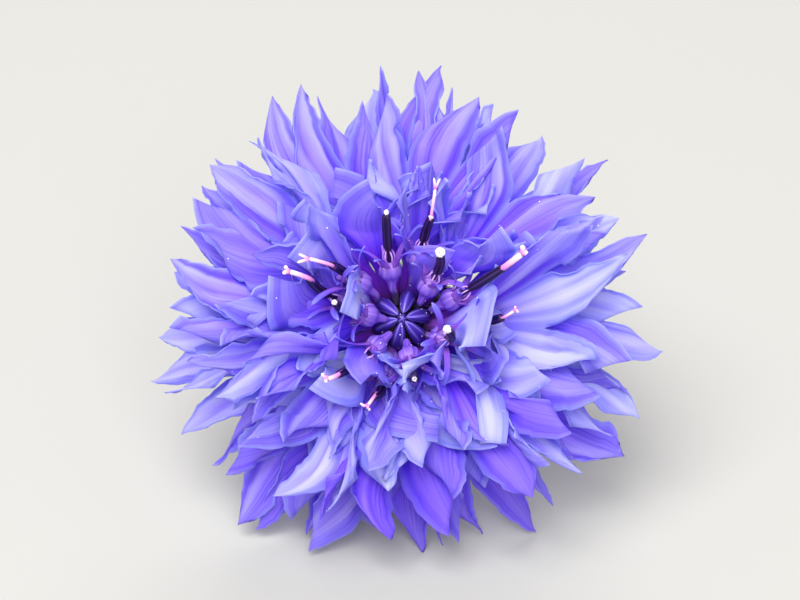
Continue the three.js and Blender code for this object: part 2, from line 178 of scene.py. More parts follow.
bpy.ops.mesh.primitive_circle_add(vertices=STEM_RIBS * 6, radius=STEM_RADIUS * MM)
stem_section = bpy.context.object
rim = points_of(stem_section)
rim_ribs = 0.5 - 0.5 * np.cos(np.arctan2(rim[:, 1], rim[:, 0]) * STEM_RIBS)
move_points(stem_section, rim * (1 - STEM_RIB_DEPTH * rim_ribs)[:, None])
bpy.ops.object.convert(target="CURVE")

bpy.ops.curve.primitive_bezier_curve_add()
stem = bpy.context.object
stem_knots = stem.data.splines[0].bezier_points
for knot, at, back, ahead in (
    (stem_knots[0], STEM_START, 2 * STEM_START - STEM_PULL, STEM_PULL),
    (stem_knots[1], STEM_END, STEM_REST, 2 * STEM_END - STEM_REST),
):
    knot.handle_left_type = "FREE"
    knot.handle_right_type = "FREE"
    knot.co = Vector(at * MM)
    knot.handle_left = Vector(back * MM)
    knot.handle_right = Vector(ahead * MM)
stem.data.dimensions = "3D"
stem.data.resolution_u = 60
stem.data.bevel_mode = "OBJECT"
stem.data.bevel_object = stem_section
stem.data.use_fill_caps = True
pick(stem)
bpy.ops.object.convert(target="MESH")
stem = bpy.context.object
bpy.data.objects.remove(stem_section, do_unlink=True)
clean(stem)
hand_over(stem, "stem_rind", rind, "stem")


# -------------------- down on the stem
# The white cobweb hairs that a cornflower's stalk carries, short and lying every way.
# One hair is a three-sided spike; its copies are rooted in the rind and joined.

DOWN_HAIRS = 900
DOWN_LENGTH = 0.55
DOWN_WIDTH = 0.035
DOWN_ROOTED_AT = 0.9                      # a share of the stem's radius
LOWEST_HAIR = 0.1


def draw(i, j):
    """A repeatable draw between 0 and 1 for each pair of numbers."""
    x = np.sin(i * 12.9898 + j * 78.233) * 43758.5453
    return x - np.floor(x)


def spread(i, j, low, high):
    """A repeatable draw between low and high."""
    return low + (high - low) * draw(i, j)


def unit(rows):
    """The same directions, one unit long."""
    return rows / np.linalg.norm(rows, axis=-1, keepdims=True)


def along_stem(share):
    """The middle of the stem at each share of the way along it."""
    t = np.asarray(share)[:, None]
    start = (1 - t) ** 3 * STEM_START + 3 * (1 - t) ** 2 * t * STEM_PULL
    return start + 3 * (1 - t) * t * t * STEM_REST + t ** 3 * STEM_END


def join(parts):
    """One object of several."""
    pick(*parts)
    if len(parts) > 1:
        bpy.ops.object.join()
    return bpy.context.object


def copies(pattern, roots, tips, widths):
    """Copies of a pattern one unit high and wide, each stood from its root to its tip, joined."""
    parts = []
    for root, tip, width in zip(roots, tips, widths):
        reach = Vector(tip - root)
        turned = reach.to_track_quat("Z", "Y").to_matrix().to_4x4()
        sized = Matrix.Diagonal((width * MM, width * MM, reach.length * MM, 1))
        part = pattern.copy()
        part.data = pattern.data.copy()
        part.data.transform(Matrix.Translation(Vector(root) * MM) @ turned @ sized)
        bpy.context.scene.collection.objects.link(part)
        parts.append(part)
    bpy.data.objects.remove(pattern, do_unlink=True)
    return join(parts)


def new_spike(sides):
    """A spike one unit high on a foot one unit wide, standing on the origin."""
    bpy.ops.mesh.primitive_cone_add(vertices=sides, radius1=0.5, radius2=0, depth=1, location=(0, 0, 0.5))
    bpy.ops.object.transform_apply(location=True, rotation=True, scale=True)
    return bpy.context.object


# Dry plant hair: white and matt.
down_hair = new_material("white_stem_down")
down_place = add_node(down_hair, "TexCoord")
down_mottle = add_node(down_hair, "TexNoise", {"Scale": 2500.0}, {"Vector": down_place.outputs["Object"]})
down_colour = add_node(
    down_hair, "ValToRGB", {"stops": [(0.3, "#cfd8c4"), (0.7, "#f0f2ea")]},
    {"Fac": down_mottle.outputs["Fac"]})
down_shader = add_node(
    down_hair, "BsdfPrincipled", {"Roughness": 0.8, "Sheen Weight": 0.4},
    {"Base Color": down_colour.outputs["Color"]})
add_node(down_hair, "OutputMaterial", links={"Surface": down_shader.outputs["BSDF"]})

hair = np.arange(DOWN_HAIRS)
hair_share = spread(hair, 31, 0.03, 0.97)
hair_middle = along_stem(hair_share)
stem_ahead = unit(along_stem(hair_share + 0.01) - hair_middle)
stem_side = unit(np.cross(stem_ahead, HEAD_RIGHT))
hair_turn = 2 * math.pi * draw(hair, 32)[:, None]
hair_out = np.cos(hair_turn) * stem_side + np.sin(hair_turn) * np.cross(stem_ahead, stem_side)
hair_root = hair_middle + hair_out * STEM_RADIUS * DOWN_ROOTED_AT
hair_lean = hair_out + stem_ahead * spread(hair, 33, -1.2, 1.2)[:, None]   # up to 50 degrees either way
hair_tip = hair_root + unit(hair_lean) * (DOWN_LENGTH * spread(hair, 34, 0.5, 1.0))[:, None]
clear = hair_tip[:, 2] > LOWEST_HAIR
down = copies(new_spike(3), hair_root[clear], hair_tip[clear], np.full(clear.sum(), DOWN_WIDTH))
hand_over(down, "stem_down", down_hair, "stem")


# -------------------- involucre
# The green egg that holds the florets: overlapping bracts round a solid base. Each bract is a leathery
# ribbed scale, pale green, with a brown rim that has dried into a fringe of fine silvery teeth.

EGG_FOOT = -15                            # heights are along the axis, from the mouth
EGG_RADII = [(EGG_FOOT, 1.9), (-14.4, 3.1), (-13.4, 4.2), (-12, 4.95), (-9, 5.4), (-6, 5.25), (-3, 4.8),
             (0, 4.5)]
EGG_CUP_RADIUS = 3.9
EGG_CUP_FLOOR = -1.4
BRACT_ROWS = 7
BRACTS_IN_A_ROW = 9
BRACT_TIPS = (-11.6, -0.2)                # heights in the lowest row and in the highest
BRACT_LENGTHS = (4.2, 5.8)
BRACT_OVERLAP = 1.15
BRACT_THICKNESS = 0.2
BRACT_END = 0.985                         # where the blunt tip is, a share of the way
LOWEST_ROOT = -14.7
TEETH_A_SIDE = 5
TOOTH_LENGTH = 0.9
TOOTH_WIDTH = 0.19
TOOTH_FLARE = 1.05


def on_head(rows):
    """Points on the flower's own axes (right, up, out of the face) in the frame, in metres."""
    rows = np.asarray(rows, float)
    right, up, out = rows[..., :1], rows[..., 1:2], rows[..., 2:3]
    return (HEAD_AT + right * HEAD_RIGHT + up * HEAD_UP + out * HEAD_OUT) * MM


def sheet(columns, rows, shape):
    """A sheet of small faces laid out by shape(across -1..1, along 0..1), in millimetres on the head."""
    bpy.ops.mesh.primitive_grid_add(x_subdivisions=columns, y_subdivisions=rows, size=2, calc_uvs=True)
    piece = bpy.context.object
    flat = points_of(piece)
    move_points(piece, on_head(shape(flat[:, 0], (flat[:, 1] + 1) / 2)))
    return piece


def thicken(piece, thickness):
    """Gives a skin its thickness, half to each side."""
    wall = piece.modifiers.new("wall", "SOLIDIFY")
    wall.thickness = thickness * MM
    wall.offset = 0
    pick(piece)
    bpy.ops.object.modifier_apply(modifier="wall")


def through(share, stops):
    """A smooth value through the stops, each a place along the way and the value there."""
    at, value = np.array(stops, float).T
    rate = np.diff(value) / np.diff(at)
    slope = np.concatenate([rate[:1], (rate[1:] + rate[:-1]) / 2, rate[-1:]])
    slope[1:-1] = np.where(rate[1:] * rate[:-1] > 0, slope[1:-1], 0)
    limit = 3 * np.minimum(np.abs(np.append(rate[:1], rate)), np.abs(np.append(rate, rate[-1:])))
    slope = np.clip(slope, -limit, limit)
    k = np.clip(np.searchsorted(at, share, side="right") - 1, 0, len(at) - 2)
    span = at[k + 1] - at[k]
    t = (share - at[k]) / span
    before = (1 + 2 * t) * (1 - t) ** 2 * value[k] + t * (1 - t) ** 2 * span * slope[k]
    return before + t * t * (3 - 2 * t) * value[k + 1] + t * t * (t - 1) * span * slope[k + 1]


# Leathery bract tissue: green with fine lengthwise ribs, paler at the root, dried brown along the rim.
bract_tissue = new_material("leathery_bract_tissue")
bract_map = add_node(bract_tissue, "UVMap")
bract_split = add_node(bract_tissue, "SeparateXYZ", links={"Vector": bract_map.outputs["UV"]})
bract_green = add_node(
    bract_tissue, "ValToRGB",
    {"stops": [(0.0, "#b7c896"), (0.45, "#8ba86c"), (0.76, "#6c8a56"), (0.86, "#6a4f3c"),
               (1.0, "#35241b")]}, {"Fac": bract_split.outputs["Y"]})
bract_ribs = add_node(
    bract_tissue, "TexWave", {"bands_direction": "X", "Scale": 1.9, "Distortion": 2.2, "Detail": 3.0},
    {"Vector": bract_map.outputs["UV"]})
bract_rib_tint = add_node(
    bract_tissue, "ValToRGB", {"stops": [(0.0, "#c3ccb8"), (0.6, "#ffffff")]},
    {"Fac": bract_ribs.outputs["Fac"]})
bract_tint = add_node(
    bract_tissue, "Mix", {"data_type": "RGBA", "blend_type": "MULTIPLY", 0: 1.0},
    {6: bract_green.outputs["Color"], 7: bract_rib_tint.outputs["Color"]})
bract_relief = add_node(
    bract_tissue, "Bump", {"Strength": 0.4, "Distance": 0.00006}, {"Height": bract_ribs.outputs["Fac"]})
bract_shader = add_node(
    bract_tissue, "BsdfPrincipled", {"Roughness": 0.5, "IOR": 1.42},
    {"Base Color": bract_tint.outputs[2], "Normal": bract_relief.outputs["Normal"]})
add_node(bract_tissue, "OutputMaterial", links={"Surface": bract_shader.outputs["BSDF"]})

# Dried bract fringe: silvery brown, papery and matt.
fringe_paper = new_material("dried_bract_fringe")
fringe_place = add_node(fringe_paper, "TexCoord")
fringe_mottle = add_node(
    fringe_paper, "TexNoise", {"Scale": 700.0}, {"Vector": fringe_place.outputs["Object"]})
fringe_colour = add_node(
    fringe_paper, "ValToRGB", {"stops": [(0.3, "#a8947f"), (0.5, "#d4cabc"), (0.7, "#f0ebe2")]},
    {"Fac": fringe_mottle.outputs["Fac"]})
fringe_shader = add_node(
    fringe_paper, "BsdfPrincipled", {"Roughness": 0.7}, {"Base Color": fringe_colour.outputs["Color"]})
add_node(fringe_paper, "OutputMaterial", links={"Surface": fringe_shader.outputs["BSDF"]})


def egg_body(across, along):
    """The solid egg: its foot, its side, its mouth and the shallow cup in it, closed at both ends."""
    side = np.linspace(EGG_FOOT, 0, 40)
    section = [(0, EGG_FOOT), *zip(through(side, EGG_RADII), side), (EGG_CUP_RADIUS, 0)]
    section = np.array([*section, (EGG_CUP_RADIUS, EGG_CUP_FLOOR), (0, EGG_CUP_FLOOR)])
    run = np.concatenate([[0], np.cumsum(np.hypot(*np.diff(section, axis=0).T))])
    radius = np.interp(along * run[-1], run, section[:, 0])
    turn = across * math.pi
    return np.stack([radius * np.cos(turn), radius * np.sin(turn),
                     np.interp(along * run[-1], run, section[:, 1])], axis=-1)


def bract_point(row, column, across, along):
    """A point of one bract. Across is -1..1 in its full width, and along is 0 at the root, 1 at the tip."""
    key = row * BRACTS_IN_A_ROW + column
    tip = np.interp(row, (0, BRACT_ROWS - 1), BRACT_TIPS)
    length = np.interp(row, (0, BRACT_ROWS - 1), BRACT_LENGTHS) * spread(key, 42, 0.93, 1.05)
    turn = (column + 0.5 * (row % 2) + spread(key, 41, -0.07, 0.07)) / BRACTS_IN_A_ROW * 2 * math.pi
    height = np.maximum(tip - length * (1 - along), LOWEST_ROOT)
    # Towards its tip it stands off the egg, most of all along its middle.
    lift = 0.1 + 0.42 * along + 0.16 * (1 - across ** 2) * along - 0.06 * (row == 0)
    radius = through(np.minimum(height, 0), EGG_RADII) + lift
    swing = turn + across * math.pi / BRACTS_IN_A_ROW * BRACT_OVERLAP
    return np.stack([radius * np.cos(swing), radius * np.sin(swing), height], axis=-1)


def bract_half_width(along):
    """How much of its full width a bract has, root to tip."""
    return (0.7 + 0.5 * along) * np.clip(1 - along ** 2.4, 0, 1) ** 0.6


egg = sheet(72, 56, egg_body)
clean(egg)
hand_over(egg, "involucre_body", bract_tissue, "involucre")

bracts = []
tooth_roots = []
tooth_tips = []
for row in range(BRACT_ROWS):
    for column in range(BRACTS_IN_A_ROW):
        bract = sheet(8, 10, lambda across, along: bract_point(
            row, column, across * bract_half_width(along * BRACT_END), along * BRACT_END))
        bracts.append(bract)
        for number in range(-TEETH_A_SIDE, TEETH_A_SIDE + 1):
            # The teeth stand just inside the rim, and point along the bract, aside and outwards.
            off = number / TEETH_A_SIDE
            along = np.array([BRACT_END - 0.36 * abs(off) ** 1.6])
            across = 0.97 * bract_half_width(along) * np.sign(number)
            tooth_roots.append(on_head(bract_point(row, column, across, along))[0] / MM)
            end = bract_point(row, column, across + off * 0.2, along + 0.13 - 0.09 * abs(off))
            end[:, :2] *= TOOTH_FLARE
            tooth_tips.append(on_head(end)[0] / MM)
tooth_roots = np.array(tooth_roots)
tooth_tips = tooth_roots + unit(np.array(tooth_tips) - tooth_roots) * TOOTH_LENGTH
bracts = join(bracts)
clean(bracts)
thicken(bracts, BRACT_THICKNESS)
hand_over(bracts, "involucre_bracts", bract_tissue, "involucre")

fringe = copies(new_spike(4), tooth_roots, tooth_tips, np.full(len(tooth_roots), TOOTH_WIDTH))
hand_over(fringe, "involucre_fringe", fringe_paper, "involucre")


# -------------------- ray florets
# The blue florets of the rim. Each is one thin petal tube that widens into a lopsided trumpet, split
# into five or six pointed lobes, long on the outer side and short on the inner. They stand in whorls.

# Direction, whole length, lift of the trumpet, roll, lobes, whorl, and how pale (up to 1) or deep (to -1)
# the colour of the inner lobes is, and of the outer ones. Both are painted light: the pale values are in
# part a painted highlight on folded and rolled-back lobes, the deep ones painted shade, most of all on the
# lower side.
# Angles are in degrees.
RAY_FLORETS = [
    (99, 22.2, 0, 12, 6, 0, 0, 0), (75, 22.0, 2, -8, 5, 0, 0, 0), (50, 22.2, -2, 10, 6, 0, 0, 0),
    (22, 21.8, 0, -20, 5, 0, 0.2, 0.2), (356, 22.2, 1, 14, 6, 0, 0.5, 0.5),
    (327, 22.8, -2, -6, 5, 0, -0.1, -0.15), (298, 21.5, -4, 18, 6, 0, -0.35, -0.35),
    (270, 21.3, -3, -20, 5, 0, -0.38, -0.38), (247, 21.9, -4, 15, 6, 0, -0.38, -0.38),
    (226, 21.8, -3, -12, 5, 0, -0.1, -0.1), (206, 21.9, -3, 20, 6, 0, 0, 0),
    (178, 21.9, -1, -15, 5, 0, 0, 0), (156, 22.3, 0, 8, 6, 0, 0, 0), (126, 22.0, 2, -18, 5, 0, 0, -0.05),
    (84, 21.6, 15, 4, 5, 1, -0.2, -0.25), (113, 22.0, 13, -16, 5, 1, -0.1, -0.1),
    (142, 22.2, 16, 10, 5, 1, 0, 0), (171, 22.8, 14, -10, 5, 1, 0, 0),
    (203, 19.6, 24, 20, 5, 1, 0.2, 0.2), (235, 20.0, 22, -22, 5, 1, 0.6, 0),
    (268, 20.6, 18, 14, 5, 1, 0.4, -0.8), (300, 19.6, 27, -10, 5, 1, 0.2, -0.5),
    (333, 20.8, 20, 25, 5, 1, 0.2, 0.2), (5, 21.4, 15, -6, 5, 1, 0.5, 0.5),
    (44, 21.6, 19, 12, 5, 1, 0, 0), (72, 15.6, 26, -14, 5, 2, 0.2, 0), (158, 16.2, 40, 10, 5, 2, 0, 0),
    (186, 18.6, 30, -12, 5, 2, 0, 0), (220, 17.6, 36, 18, 5, 2, 0.3, 0),
    (252, 17.0, 36, -8, 5, 2, 1, 0.5), (284, 17.2, 35, 15, 5, 2, 1, 0.5),
    (354, 20.5, 28, -10, 5, 2, 0.6, 0.6), (318, 17.4, 36, 14, 5, 2, 0.6, 0),
]
# These two get pale lips all over, a painted highlight on their rolled-back inner lobes.
LIPPED_FLORETS = (26, 31)        # the two by the disc whose inner lobes roll back as broad pale lips
UPRIGHT = 2                      # the whorl round the disc
PETAL_THICKNESS = 0.13
TUBE_RADIUS = 0.5
TUBE_LENGTH = 4.6
TRUMPET_LENGTH = 7.3
TRUMPET_SLANT = 4.2              # how much longer its outer side is, and shorter its inner
MOUTH_RADIUS = 3.2
LOBE_LENGTH = 5.4
LOBE_SLANT = 1.6
LIP_LENGTH = 2.0                 # how much longer the lobes of the two lips are
LIP_ROLL = 45
FOOT_RADIUS = 2.65               # of the ring on which the florets stand
FOOT_HEIGHT = -0.6
FULL_LENGTH = 22.8               # of a floret of these very sizes; the others are scaled from it
TUBE_END = 0.16                  # where the tube ends, a share of the way along a strip
MOUTH_AT = 0.6                   # where the lobe starts
BEND_LENGTH = 7.5                # over which a floret bends outwards
PLEAT_DEPTH = 0.26
FOLD_DEPTH = 0.2
SWAY = 0.38
TWIST = 0.42
WAVE = 0.34
RIPPLE = 0.1
BOW = 1.6                        # how far a whole floret may bend aside
FLATTENED = 0.52                 # how much less deep than round the mouth is,
WIDENED = 0.34                   # and how much wider
LOWEST_POINT = 0.1               # above the surface
YOUNG_WITHIN = 11.5              # distance from the axis within which the tissue is a deeper violet


def phase(i, j):
    """A repeatable start somewhere in a wave."""
    return 6.28 * draw(i, j)


def ray_fold(number, lobe, across, along):
    """How far the pleats and soft folds of one lobe's strip stand off its skin, outwards."""
    key = number * 11 + lobe
    opened = np.clip((along - TUBE_END) / (MOUTH_AT - TUBE_END), 0, 1)
    in_lobe = np.clip((along - MOUTH_AT) / (1 - MOUTH_AT), 0, 1)
    pleat = -PLEAT_DEPTH * np.cos(across * math.pi) * opened * (1 - 0.75 * in_lobe)
    place = across * spread(key, 26, 5.5, 10) * (1 - 0.3 * in_lobe)
    soft = np.cos(place + phase(key, 25) + 1.2 * in_lobe)
    return pleat + FOLD_DEPTH * soft * opened * (1 - in_lobe ** 2.5) * (1 - across ** 4)


def ray_point(number, lobe, across, along):
    """A point of one lobe's strip of one ray floret, across -1..1, along 0 at the foot, 1 at the tip."""
    direction, length, lift, roll, lobes, whorl = RAY_FLORETS[number][:6]
    size = length / FULL_LENGTH
    half = math.pi / lobes
    middle = (lobe + 0.5) * 2 * half
    key = number * 11 + lobe
    outer = -math.cos(middle)            # 1 on the outer side of the mouth, -1 on the inner
    # The inner whorls, and the florets that hang lowest, are the most rumpled.
    rumple = 1 + 0.35 * (whorl > 0) + 0.35 * (math.sin(math.radians(direction)) < -0.3)
    in_trumpet = np.clip((along - TUBE_END) / (MOUTH_AT - TUBE_END), 0, 1)
    in_lobe = np.clip((along - MOUTH_AT) / (1 - MOUTH_AT), 0, 1)

    # The tube and the trumpet: how far along the floret, and how far off its middle.
    turn = middle + across * half
    mouth = MOUTH_RADIUS * size * spread(number, 19, 0.92, 1.08) * (1 + 0.12 * (whorl == UPRIGHT))
    off = TUBE_RADIUS + (mouth - TUBE_RADIUS) * in_trumpet ** 1.3
    run = np.where(along < TUBE_END, TUBE_LENGTH * size * along / TUBE_END,
                   TUBE_LENGTH * size + size * (TRUMPET_LENGTH - TRUMPET_SLANT * np.cos(turn)) * in_trumpet)
    off = off + ray_fold(number, lobe, across, along)

    # The lobe: it goes on from the mouth and curls outwards, the more the further in it stands.
    lip = number in LIPPED_FLORETS and outer < -0.4
    reach = size * (LOBE_LENGTH + LOBE_SLANT * outer + LIP_LENGTH * lip) * spread(key, 11, 0.76, 1.18)
    set_off = math.atan2(1.3 * (mouth - TUBE_RADIUS), (TRUMPET_LENGTH + TRUMPET_SLANT * outer) * size)
    roll_back = (48 - 33 * (whorl == UPRIGHT) + LIP_ROLL * lip) * max(-outer, 0) ** 2
    curl = math.radians(28 - 18 * outer + roll_back + spread(key, 12, -15, 15)) - set_off
    run = run + reach * (np.sin(set_off + curl * in_lobe) - math.sin(set_off)) / curl
    off = off + reach * (math.cos(set_off) - np.cos(set_off + curl * in_lobe)) / curl
    notch = 0.1 * np.sin(in_lobe * 15 + phase(key, 27)) + 0.06 * np.sin(in_lobe * 41 + number)
    wide = (1 + spread(key, 13, -0.6, 0.25) * in_lobe + notch * in_lobe) * (1 - in_lobe ** 2.4) ** 0.66
    opening = half * wide * mouth / np.maximum(off, mouth)
    sway = spread(key, 14, -SWAY, SWAY) * rumple * in_lobe ** 1.6
    turn = np.where(in_lobe > 0, middle + across * opening + sway, turn)

    # Its cupped cross-section, its twist, and the fine waves along its edges.
    blade = mouth * math.sin(half) * wide
    wave = WAVE * np.sin(in_lobe * spread(key, 18, 4, 9) + phase(key, 17) + across * 1.5)
    wave = wave + RIPPLE * np.sin(in_lobe * 23 + across * 3 + phase(key, 28))
    off = off - spread(key, 15, -0.3, 0.75) * rumple * np.abs(across) ** 1.5 * blade * in_lobe ** 0.7
    off = off + spread(key, 16, -TWIST, TWIST) * rumple * across * blade * in_lobe
    off = off + wave * np.abs(across) ** 2 * np.sin(math.pi * in_lobe)

    # The section at the mouth is wider than it is deep, and rolled about the floret's own middle.
    turn = turn + math.radians(roll * (1 + whorl))
    depth = np.cos(turn) * off * (1 - (FLATTENED - 0.24 * (whorl == UPRIGHT)) * in_trumpet)
    breadth = np.sin(turn) * off * (1 + WIDENED * in_trumpet)

    # The middle line rises from the disc, bends outwards and droops a little.
    steps = np.linspace(0, 32, 129)
    foot_lean = math.radians(30 - 7 * whorl)
    rise = np.clip(steps / BEND_LENGTH, 0, 1)
    lean = foot_lean + (math.radians(90 - lift) - foot_lean) * rise * rise * (3 - 2 * rise)
    lean = lean + math.radians(spread(number, 21, -4, 12)) * np.clip((steps - BEND_LENGTH) / 12, 0, 2) ** 2

    def summed(rate):
        return np.concatenate([[0], np.cumsum((rate[1:] + rate[:-1]) / 2 * steps[1])])

    here = np.interp(run, steps, lean)
    radius = FOOT_RADIUS + (0.25, 0, -0.35)[whorl] + np.interp(run, steps, summed(np.sin(lean)))
    radius = radius - np.cos(here) * depth
    height = FOOT_HEIGHT + np.interp(run, steps, summed(np.cos(lean))) + np.sin(here) * depth
    bow = spread(number, 22, -BOW, BOW) * (run / (18.6 * size)) ** 2
    aside = breadth + bow
    angle = math.radians(direction)
    x = radius * math.cos(angle) - aside * math.sin(angle)
    y = radius * math.sin(angle) + aside * math.cos(angle)
    spot = np.stack([x, y, height], axis=-1)

    # What would reach below the surface that the flower lies on is bent up along it.
    upright = np.array([0, HEAD_UP[2], HEAD_OUT[2]])
    low = HEAD_AT[2] + spot @ upright
    return spot + np.maximum(LOWEST_POINT - low, 0)[:, None] * upright


def ray_floret(number):
    """One ray floret, as a skin without thickness. Its points also carry what their colour depends on."""
    strips = []
    lobes = RAY_FLORETS[number][4]
    for lobe in range(lobes):
        strip = sheet(12, 30, lambda across, along: ray_point(number, lobe, across, along))
        uv = np.empty(len(strip.data.loops) * 2)
        strip.data.uv_layers.active.data.foreach_get("uv", uv)
        corner = np.empty(len(strip.data.loops), dtype=np.int32)
        strip.data.loops.foreach_get("vertex_index", corner)
        flat = np.empty((len(strip.data.vertices), 2))
        flat[corner] = uv.reshape(-1, 2)
        across, along = flat[:, 0] * 2 - 1, flat[:, 1]
        # Painted light along the soft folds: high where they rise, a painted highlight, and low in their
        # hollows, painted shade.
        crest = 0.5 - ray_fold(number, lobe, across, along) / 0.6
        inner_side = math.cos((lobe + 0.5) * 2 * math.pi / lobes) > 0.4
        lip = number in LIPPED_FLORETS and inner_side
        # The pale and deep values are painted light: pale a highlight on folded and rolled-back lobes, deep
        # a painted shade.
        pale = 1.0 if lip else RAY_FLORETS[number][6 if inner_side else 7]
        # The tone mixes each lobe's random tint with the painted light of its folds and of the table.
        tone = 0.4 * crest + 0.6 * draw(number * 11 + lobe, 24) + 0.5 * pale
        spots = ray_point(number, lobe, across, along)
        young = np.clip((YOUNG_WITHIN - np.hypot(spots[:, 0], spots[:, 1])) / 6, 0, 1) * (1 - max(pale, 0))
        # The depth is the greater of the deeper violet of young tissue near the axis and the painted shade
        # of a lobe marked deep.
        for name, values in (("tone", tone), ("crest", crest), ("depth", np.maximum(young, -pale))):
            strip.data.attributes.new(name, "FLOAT", "POINT").data.foreach_set("value", values)
        strips.append(strip)
    floret = join(strips)
    clean(floret)
    return floret


# Petal tissue of the ray florets: thin, soft and see-through, blue-violet. The throat is red-violet, the
# hollows of the folds carry painted shade in deep blue and their crests a painted highlight, the lobes pale
# to lavender, and fine veins run along them as soft streaks.
petal = new_material("blue_petal_tissue")
petal_map = add_node(petal, "UVMap")
petal_split = add_node(petal, "SeparateXYZ", links={"Vector": petal_map.outputs["UV"]})
petal_blue = add_node(
    petal, "ValToRGB",
    {"stops": [(0.0, "#dc6ee0"), (0.14, "#c850f0"), (0.3, "#a850ff"), (0.48, "#a176ff"), (0.72, "#a68df7"),
               (1.0, "#a397f1")]}, {"Fac": petal_split.outputs["Y"]})
# Along a lobe, some 4 mm wide, run 7 soft streaks and, from 0.1 to 0.2 mm apart, fine dark veins.
petal_tone_and_painted_light = add_node(petal, "Attribute", {"attribute_name": "tone"})
petal_stretch = add_node(petal, "Mapping", {"Scale": (7.0, 0.9, 1.0)}, {"Vector": petal_map.outputs["UV"]})
petal_streaks = add_node(
    petal, "TexNoise", {"noise_dimensions": "4D", "Scale": 1.0, "Detail": 3.0, "Roughness": 0.65},
    {"Vector": petal_stretch.outputs["Vector"], "W": petal_tone_and_painted_light.outputs["Fac"]})
# Painted shade and highlight on the soft folds: a deeper blue in their hollows, paler on their crests, and
# the streaks follow them.
petal_painted_fold_light = add_node(petal, "Attribute", {"attribute_name": "crest"})
petal_streaks_and_fold_light = add_node(
    petal, "Mix", {"data_type": "FLOAT", 0: 0.45},
    {2: petal_streaks.outputs["Fac"], 3: petal_painted_fold_light.outputs["Fac"]})
petal_streak_tint = add_node(
    petal, "ValToRGB", {"stops": [(0.28, "#a68cf2"), (0.46, "#e4daff"), (0.6, "#ffffff")]},
    {"Fac": petal_streaks_and_fold_light.outputs[0]})
petal_streaked = add_node(
    petal, "Mix", {"data_type": "RGBA", "blend_type": "MULTIPLY", 0: 0.8},
    {6: petal_blue.outputs["Color"], 7: petal_streak_tint.outputs["Color"]})
petal_fine = add_node(petal, "Mapping", {"Scale": (40.0, 1.1, 1.0)}, {"Vector": petal_map.outputs["UV"]})
petal_veins = add_node(
    petal, "TexNoise", {"noise_dimensions": "4D", "Scale": 1.0, "Detail": 2.0, "Roughness": 0.5},
    {"Vector": petal_fine.outputs["Vector"], "W": petal_tone_and_painted_light.outputs["Fac"]})
petal_vein_tint = add_node(
    petal, "ValToRGB", {"stops": [(0.36, "#9878ea"), (0.47, "#ffffff")]},
    {"Fac": petal_veins.outputs["Fac"]})
petal_veined = add_node(
    petal, "Mix", {"data_type": "RGBA", "blend_type": "MULTIPLY", 0: 0.5},
    {6: petal_streaked.outputs[2], 7: petal_vein_tint.outputs["Color"]})
# The edge turns pale over the outer quarter, most of all on the lobes, partly a pale margin and partly a
# painted highlight where edges fold; some lobes are paler all over, at random and where painted light is
# set on them.
petal_centred = add_node(petal, "Math", {"operation": "SUBTRACT", 1: 0.5}, {0: petal_split.outputs["X"]})
petal_aside = add_node(petal, "Math", {"operation": "ABSOLUTE"}, {0: petal_centred.outputs[0]})
petal_edge = add_node(petal, "MapRange", {1: 0.38, 2: 0.5, 3: 0.0, 4: 0.8}, {0: petal_aside.outputs[0]})
petal_outer = add_node(petal, "MapRange", {1: 0.2, 2: 0.62, 3: 0.15, 4: 1.0}, {0: petal_split.outputs["Y"]})
petal_drift = add_node(
    petal, "TexNoise", {"noise_dimensions": "4D", "Scale": 2.2, "Detail": 2.0},
    {"Vector": petal_map.outputs["UV"], "W": petal_tone_and_painted_light.outputs["Fac"]})
petal_mottle = add_node(
    petal, "Math", {"operation": "ADD"}, {0: petal_tone_and_painted_light.outputs["Fac"], 1: petal_drift.outputs["Fac"]})
petal_pale_lobe = add_node(
    petal, "MapRange", {1: 0.92, 2: 1.5, 3: 0.0, 4: 0.85}, {0: petal_mottle.outputs[0]})
petal_pale = add_node(
    petal, "Math", {"operation": "MAXIMUM"}, {0: petal_edge.outputs[0], 1: petal_pale_lobe.outputs[0]})
petal_paleness = add_node(
    petal, "Math", {"operation": "MULTIPLY"}, {0: petal_pale.outputs[0], 1: petal_outer.outputs[0]})
petal_pale_and_highlight = add_node(
    petal, "ValToRGB", {"stops": [(0.34, "#a6adfb"), (0.46, "#c2c6ff"), (0.62, "#dcdeff")]},
    {"Fac": petal_streaks_and_fold_light.outputs[0]})
petal_lightened = add_node(
    petal, "Mix", {"data_type": "RGBA"},
    {0: petal_paleness.outputs[0], 6: petal_veined.outputs[2], 7: petal_pale_and_highlight.outputs["Color"]})
# Towards the middle of the head the tissue is younger and a deeper violet; the lobes marked deep get the
# same deeper violet as painted shade.
petal_depth = add_node(petal, "Attribute", {"attribute_name": "depth"})
petal_colour = add_node(
    petal, "Mix", {"data_type": "RGBA", "blend_type": "MULTIPLY", 7: linear("#d298ff")},
    {0: petal_depth.outputs["Fac"], 6: petal_lightened.outputs[2]})
petal_relief = add_node(
    petal, "Bump", {"Strength": 0.35, "Distance": 0.0001}, {"Height": petal_veins.outputs["Fac"]})
petal_surface = add_node(
    petal, "BsdfPrincipled",
    {"Roughness": 0.55, "IOR": 1.4, "Sheen Weight": 0.2, "Sheen Tint": linear("#d6d8ff"),
     "Sheen Roughness": 0.5},
    {"Base Color": petal_colour.outputs[2], "Normal": petal_relief.outputs["Normal"]})
petal_through = add_node(petal, "BsdfTranslucent", {}, {"Color": petal_lightened.outputs[2]})
petal_shader = add_node(
    petal, "MixShader", {0: 0.48}, {1: petal_surface.outputs["BSDF"], 2: petal_through.outputs["BSDF"]})
add_node(petal, "OutputMaterial", links={"Surface": petal_shader.outputs["Shader"]})

